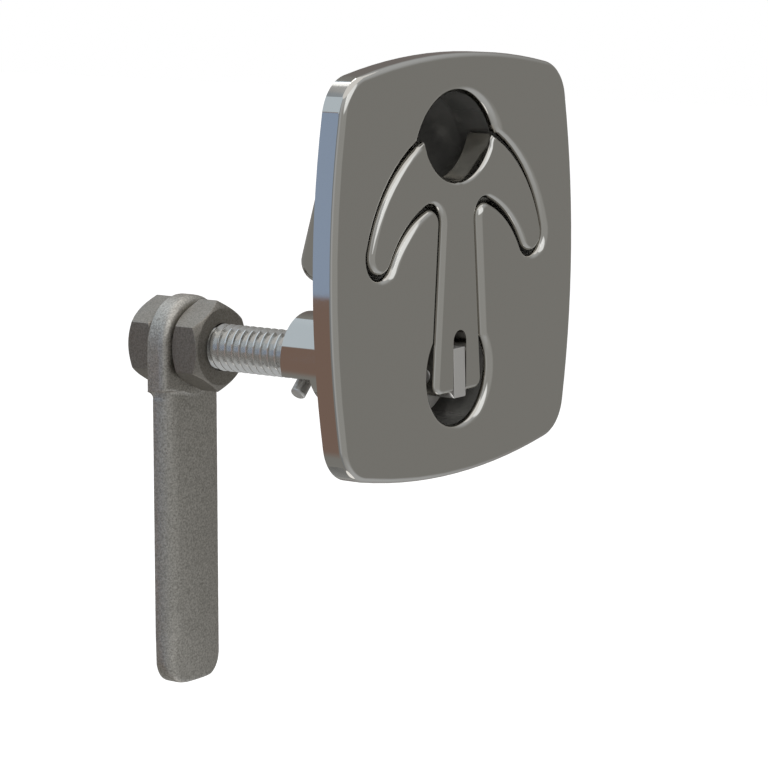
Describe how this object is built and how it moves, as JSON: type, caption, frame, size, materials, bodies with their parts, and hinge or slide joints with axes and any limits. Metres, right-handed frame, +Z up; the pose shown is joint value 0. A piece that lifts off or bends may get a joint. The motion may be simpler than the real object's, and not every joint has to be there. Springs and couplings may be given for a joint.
{
  "type": "flush hatch latch",
  "caption": "Flush stainless hatch latch: bowed plate, anchor-shaped lift handle in a recess, threaded spindle with clamped pawl behind.",
  "frame": {"origin": "centre of the flange's rear face, in the middle of the four fixing holes", "axes": "+X across the face to the right seen from the front, +Y into the hatch along the spindle, +Z up towards the finger hole"},
  "size_m": [0.0844, 0.0812, 0.137],
  "materials": {
    "polished_stainless": "mirror polish",
    "steel_bar": "turned bar",
    "blasted_cast": "bead-blasted casting"
  },
  "bodies": {
    "housing": {"face_plate": "polished_stainless", "finger_cup": "polished_stainless", "spindle_sleeve": "polished_stainless", "spindle_head": "steel_bar"},
    "handle": {"anchor_handle": "polished_stainless", "pivot_pin": "steel_bar"},
    "spindle": {"threaded_spindle": "steel_bar", "stop_pin": "steel_bar"},
    "pawl_set": {"front_nut": "blasted_cast", "pawl": "blasted_cast", "rear_nut": "blasted_cast"}
  },
  "joints": [
    {"name": "handle_lift", "type": "hinge", "parent": "housing", "child": "handle", "pos_m": [0, -0.0018, -0.0215], "axis": [1, 0, 0], "range_deg": [0, 90]},
    {"name": "spindle_turn", "type": "hinge", "parent": "housing", "child": "spindle", "pos_m": [0, 0, -0.0215], "axis": [0, -1, 0], "range_deg": [0, 90]},
    {"name": "pawl_adjust", "type": "slide", "parent": "spindle", "child": "pawl_set", "axis": [0, 1, 0], "range_m": [-0.016, 0]}
  ]
}
